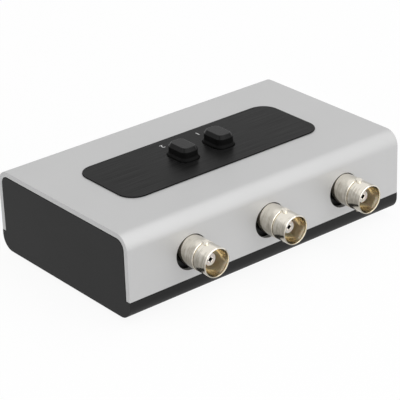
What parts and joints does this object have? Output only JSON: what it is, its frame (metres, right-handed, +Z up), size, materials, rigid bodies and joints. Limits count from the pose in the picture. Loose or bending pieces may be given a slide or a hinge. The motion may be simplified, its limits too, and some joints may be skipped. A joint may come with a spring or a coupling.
{
  "type": "coaxial antenna switch",
  "caption": "Manual coaxial antenna switch: silver bent-sheet cover on a black tray, bayonet jacks along the front and interlocked push-buttons in a black plate on top.",
  "frame": {"origin": "on the table, under the middle of the whole outline, jacks included", "axes": "+X along the case, from the left jack to the right one seen from the jacks; the jacks point to -Y; +Z up"},
  "size_m": [0.111, 0.079, 0.0347],
  "materials": {
    "cover_aluminium": "fine satin, silver anodised",
    "black_moulding": "fine textured moulding",
    "label_black": "black anodised, brushed lengthwise",
    "cap_plastic": "satin moulding",
    "nickel_plate": "bright nickel plate on a turned barrel",
    "white_insulator": "white fluoropolymer",
    "contact_brass": "plated brass",
    "steel": "zinc plated",
    "black_steel": "black oxide",
    "board_laminate": "solder resist on glass laminate",
    "housing_plastic": "moulded",
    "plunger_plastic": "moulded, self-lubricating",
    "foot_rubber": "moulded rubber"
  },
  "bodies": {
    "case": {"top_cover": "cover_aluminium", "base_tray": "black_moulding", "label_plate": "label_black", "cover_standoffs": "steel", "base_screws": "black_steel", "circuit_board": "board_laminate", "board_screws": "steel", "front_left_foot": "foot_rubber", "front_right_foot": "foot_rubber", "rear_left_foot": "foot_rubber", "rear_right_foot": "foot_rubber", "left_jack_body": "nickel_plate", "left_jack_housing": "housing_plastic", "left_jack_insulator": "white_insulator", "left_jack_contact": "contact_brass", "centre_jack_body": "nickel_plate", "centre_jack_housing": "housing_plastic", "centre_jack_insulator": "white_insulator", "centre_jack_contact": "contact_brass", "right_jack_body": "nickel_plate", "right_jack_housing": "housing_plastic", "right_jack_insulator": "white_insulator", "right_jack_contact": "contact_brass", "button_1_return_spring": "steel", "button_1_housing": "housing_plastic", "button_1_terminals": "contact_brass", "button_2_return_spring": "steel", "button_2_housing": "housing_plastic", "button_2_terminals": "contact_brass", "switch_frame": "steel", "latch_spring": "steel"},
    "latch": {"latch_bar": "steel"},
    "button_1": {"button_1_cap": "cap_plastic", "button_1_plunger": "plunger_plastic", "button_1_contact_clips": "contact_brass"},
    "button_2": {"button_2_cap": "cap_plastic", "button_2_plunger": "plunger_plastic", "button_2_contact_clips": "contact_brass"}
  },
  "joints": [
    {"name": "button_1_press", "type": "slide", "parent": "case", "child": "button_1", "axis": [0, 0, -1], "range_m": [0, 0.0025], "stiffness_N_per_m": 400, "springref_m": -0.005, "deforming": ["button_1_return_spring"]},
    {"name": "button_2_press", "type": "slide", "parent": "case", "child": "button_2", "axis": [0, 0, -1], "range_m": [0, 0.0025], "stiffness_N_per_m": 400, "springref_m": -0.005, "deforming": ["button_2_return_spring"]},
    {"name": "latch_slide", "type": "slide", "parent": "case", "child": "latch", "axis": [1, 0, 0], "range_m": [0, 0.0008], "stiffness_N_per_m": 300, "springref_m": -0.002, "deforming": ["latch_spring"]}
  ]
}
